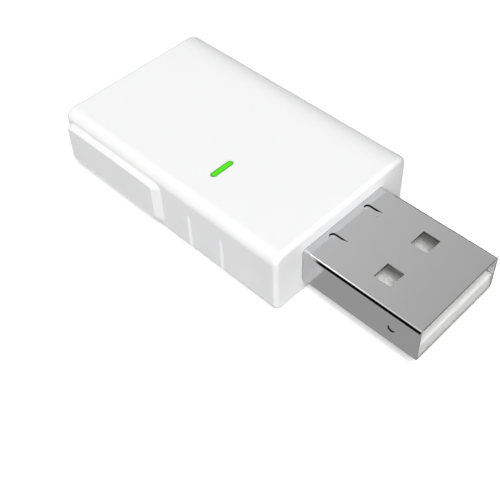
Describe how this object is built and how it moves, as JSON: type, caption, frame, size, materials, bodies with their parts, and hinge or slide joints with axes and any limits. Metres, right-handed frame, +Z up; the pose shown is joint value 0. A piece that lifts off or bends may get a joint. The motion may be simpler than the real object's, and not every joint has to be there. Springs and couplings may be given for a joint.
{
  "type": "wireless usb gateway",
  "caption": "Plug-in wireless gateway: a flat white housing with a raised grip on each side, a green indicator window and a metal plug.",
  "frame": {"origin": "below the middle of the whole object, at the height of the housing's underside", "axes": "+X from the rear of the housing to the tip of the plug, +Y to the left of it, +Z up through the face with the indicator window"},
  "size_m": [0.0454, 0.0206, 0.008],
  "materials": {
    "white_plastic": "fine satin moulded plastic",
    "green_lens": "clear green plastic, lit from below",
    "plug_steel": "nickel-plated sheet steel, satin",
    "tongue_plastic": "white moulded plastic",
    "contact_metal": "tin-plated spring metal",
    "board_laminate": "green lacquered glass-fibre laminate",
    "track_copper": "bare copper track",
    "shield_steel": "tinned sheet steel",
    "chip_plastic": "black moulded chip package",
    "legged_chip": "black package with tinned legs",
    "crystal_metal": "metal lid on a ceramic base",
    "coil_ferrite": "dark ferrite",
    "capacitor_ceramic": "tan ceramic with tinned ends",
    "resistor_film": "black film on ceramic with tinned ends",
    "led_resin": "clear resin",
    "antenna_ceramic": "pale ceramic with tinned ends"
  },
  "bodies": {
    "root": {"upper_cover": "white_plastic", "lower_cover": "white_plastic", "light_guide": "green_lens", "plug_shell": "plug_steel", "plug_tongue": "tongue_plastic", "power_contact": "contact_metal", "data_minus_contact": "contact_metal", "data_plus_contact": "contact_metal", "ground_contact": "contact_metal", "circuit_board": "board_laminate", "radio_shield": "shield_steel", "network_radio_chip": "chip_plastic", "short_range_radio_chip": "chip_plastic", "memory_chip": "legged_chip", "surge_protector": "legged_chip", "voltage_regulator": "legged_chip", "crystal": "crystal_metal", "power_inductor": "coil_ferrite", "input_capacitor": "capacitor_ceramic", "output_capacitor": "capacitor_ceramic", "small_capacitors": "capacitor_ceramic", "resistors": "resistor_film", "status_led": "led_resin", "chip_antenna": "antenna_ceramic", "printed_antenna": "track_copper"}
  },
  "joints": []
}
